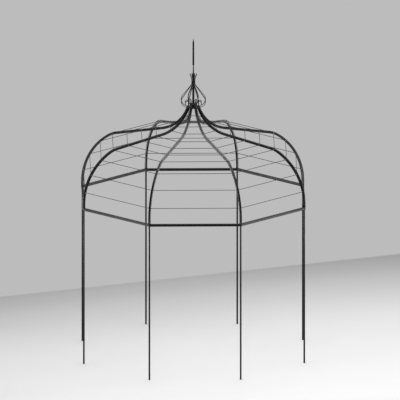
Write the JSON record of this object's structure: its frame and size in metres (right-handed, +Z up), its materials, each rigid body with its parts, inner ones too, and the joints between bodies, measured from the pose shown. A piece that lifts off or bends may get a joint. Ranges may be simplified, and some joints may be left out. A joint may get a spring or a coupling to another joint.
{
  "type": "octagonal metal gazebo",
  "caption": "Open octagonal garden pavilion of dark steel tube: posts, a head-height ring, an ogee dome of ribs and plant wires, and an onion finial with a spear.",
  "frame": {"origin": "on the ground at the centre of the plan", "axes": "+Z up along the dome's axis, +X to the right, the front side faces -Y"},
  "size_m": [2.8108, 2.8108, 4.0709],
  "materials": {
    "coated_tube": "satin anthracite powder coat",
    "coated_wire": "satin anthracite powder coat on drawn wire",
    "coated_finial": "satin black powder coat on wrought bar"
  },
  "bodies": {
    "root": {"post_right_back": "coated_tube", "post_back_right": "coated_tube", "post_back_left": "coated_tube", "post_left_back": "coated_tube", "post_left_front": "coated_tube", "post_front_left": "coated_tube", "post_front_right": "coated_tube", "post_right_front": "coated_tube", "ring_bar_back_right": "coated_tube", "ring_bar_back": "coated_tube", "ring_bar_back_left": "coated_tube", "ring_bar_left": "coated_tube", "ring_bar_front_left": "coated_tube", "ring_bar_front": "coated_tube", "ring_bar_front_right": "coated_tube", "ring_bar_right": "coated_tube", "rib_right_back": "coated_tube", "rib_back_right": "coated_tube", "rib_back_left": "coated_tube", "rib_left_back": "coated_tube", "rib_left_front": "coated_tube", "rib_front_left": "coated_tube", "rib_front_right": "coated_tube", "rib_right_front": "coated_tube", "wires_back_right": "coated_wire", "wires_back": "coated_wire", "wires_back_left": "coated_wire", "wires_left": "coated_wire", "wires_front_left": "coated_wire", "wires_front": "coated_wire", "wires_front_right": "coated_wire", "wires_right": "coated_wire", "crown_plate": "coated_finial", "crown_hub": "coated_finial", "onion_cage": "coated_finial", "crook_scrolls": "coated_finial", "finial_stem": "coated_finial", "cage_collar": "coated_finial", "lower_rod": "coated_finial", "rod_disc": "coated_finial", "upper_rod": "coated_finial", "spear_bead": "coated_finial", "spear": "coated_finial"}
  },
  "joints": []
}
